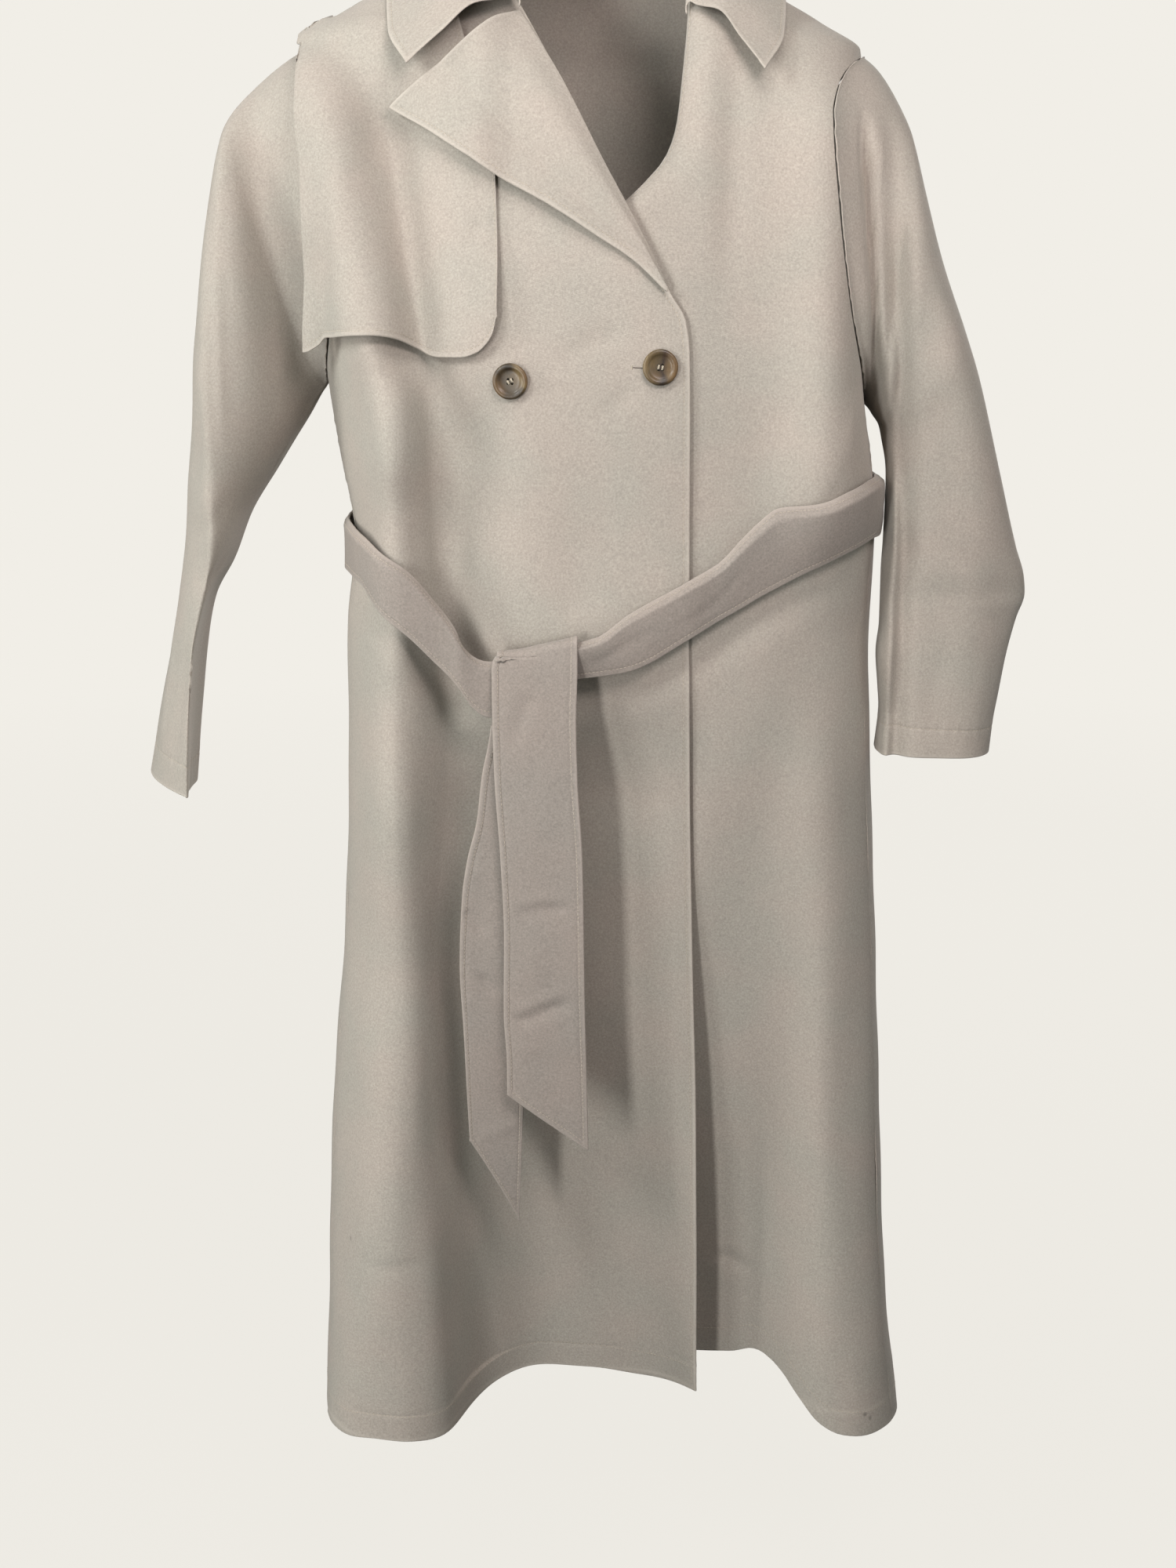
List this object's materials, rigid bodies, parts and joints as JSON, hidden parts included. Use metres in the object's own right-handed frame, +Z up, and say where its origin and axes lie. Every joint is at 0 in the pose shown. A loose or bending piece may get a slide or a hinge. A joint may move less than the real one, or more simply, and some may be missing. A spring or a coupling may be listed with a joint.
{
  "type": "trench coat",
  "caption": "Long double-breasted trench coat filled out with no wearer, with one turned lapel, a storm flap, long plain sleeves and a tied sash belt.",
  "frame": {"origin": "midway between the two neck points, where the shoulder seams meet the collar and the wearer's shoulders carry the coat", "axes": "+Z up, -Y is the coat's front, +X is the wearer's left"},
  "size_m": [0.7465, 0.3174, 1.2656],
  "materials": {
    "coat_cloth": "smooth matte cotton gabardine, stone beige, fine steep twill",
    "belt_cloth": "the same gabardine sewn double, edge-stitched",
    "horn_button": "horn-look resin, polished, raised rim, sewn with light thread"
  },
  "bodies": {
    "root": {"front_right": "coat_cloth", "front_left": "coat_cloth", "back": "coat_cloth", "storm_flap": "coat_cloth", "lapel_right": "coat_cloth", "collar": "coat_cloth", "sleeve_right": "coat_cloth", "sleeve_left": "coat_cloth", "belt_loop": "belt_cloth", "belt_tail_front": "belt_cloth", "belt_tail_rear": "belt_cloth", "button_right": "horn_button", "button_left": "horn_button"}
  },
  "joints": []
}
